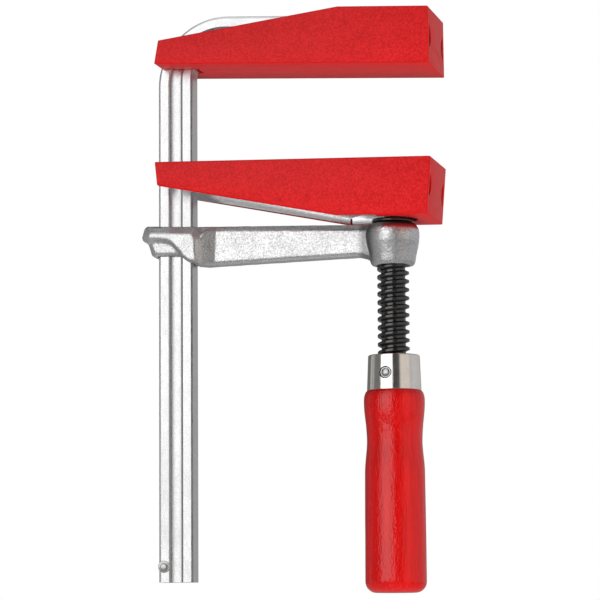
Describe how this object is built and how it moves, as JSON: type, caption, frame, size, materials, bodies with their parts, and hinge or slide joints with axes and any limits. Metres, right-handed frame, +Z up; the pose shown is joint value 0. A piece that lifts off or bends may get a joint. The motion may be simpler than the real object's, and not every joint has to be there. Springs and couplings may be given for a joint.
{
  "type": "f clamp",
  "caption": "Light bar clamp with a grooved steel rail, plastic-covered steel jaws, a sliding arm and a screw with a turned red wooden handle.",
  "frame": {"origin": "on the fixed jaw's clamping face, where the spindle axis meets it", "axes": "+Z up along the rail, +X from the rail towards the jaw tips, +Y to the back"},
  "size_m": [0.119, 0.0336, 0.2294],
  "materials": {
    "plated_steel": "satin zinc plate with a fine lengthwise grain",
    "sheet_steel": "bright plated sheet",
    "forged_steel": "coarse plated forging",
    "black_steel": "oiled black oxide",
    "nickel": "polished nickel plate",
    "pin_steel": "drawn wire, cut and dressed",
    "red_plastic": "glass-filled nylon with a fine moulded texture",
    "red_lacquer": "turned beech under thick glossy red lacquer"
  },
  "bodies": {
    "frame": {"rail": "plated_steel", "rail_stop_pin": "pin_steel", "fixed_jaw_core": "sheet_steel", "fixed_jaw_cover": "red_plastic"},
    "arm": {"sliding_arm": "forged_steel"},
    "collar": {"thrust_collar": "black_steel"},
    "screw": {"spindle": "black_steel", "ferrule": "nickel", "ferrule_pin": "pin_steel", "handle": "red_lacquer"},
    "jaw": {"moving_jaw_core": "sheet_steel", "moving_jaw_cover": "red_plastic", "ball_cup": "pin_steel", "ball_snap_ring": "sheet_steel"}
  },
  "joints": [
    {"name": "arm_slide", "type": "slide", "parent": "frame", "child": "arm", "axis": [0, 0, 1], "range_m": [-0.119, 0.0012]},
    {"name": "screw_feed", "type": "slide", "parent": "arm", "child": "collar", "axis": [0, 0, 1], "range_m": [0, 0.0341]},
    {"name": "screw_turn", "type": "hinge", "parent": "collar", "child": "screw", "pos_m": [0, 0, -0.049], "axis": [0, 0, 1], "range_deg": [0, 3721]},
    {"name": "jaw_tilt", "type": "hinge", "parent": "collar", "child": "jaw", "pos_m": [0, 0, -0.049], "axis": [0, 1, 0], "range_deg": [-1.5, 1.5]}
  ],
  "couplings": [
    {"joint": "screw_turn", "follows": "screw_feed", "rad_per_m": 1904}
  ]
}
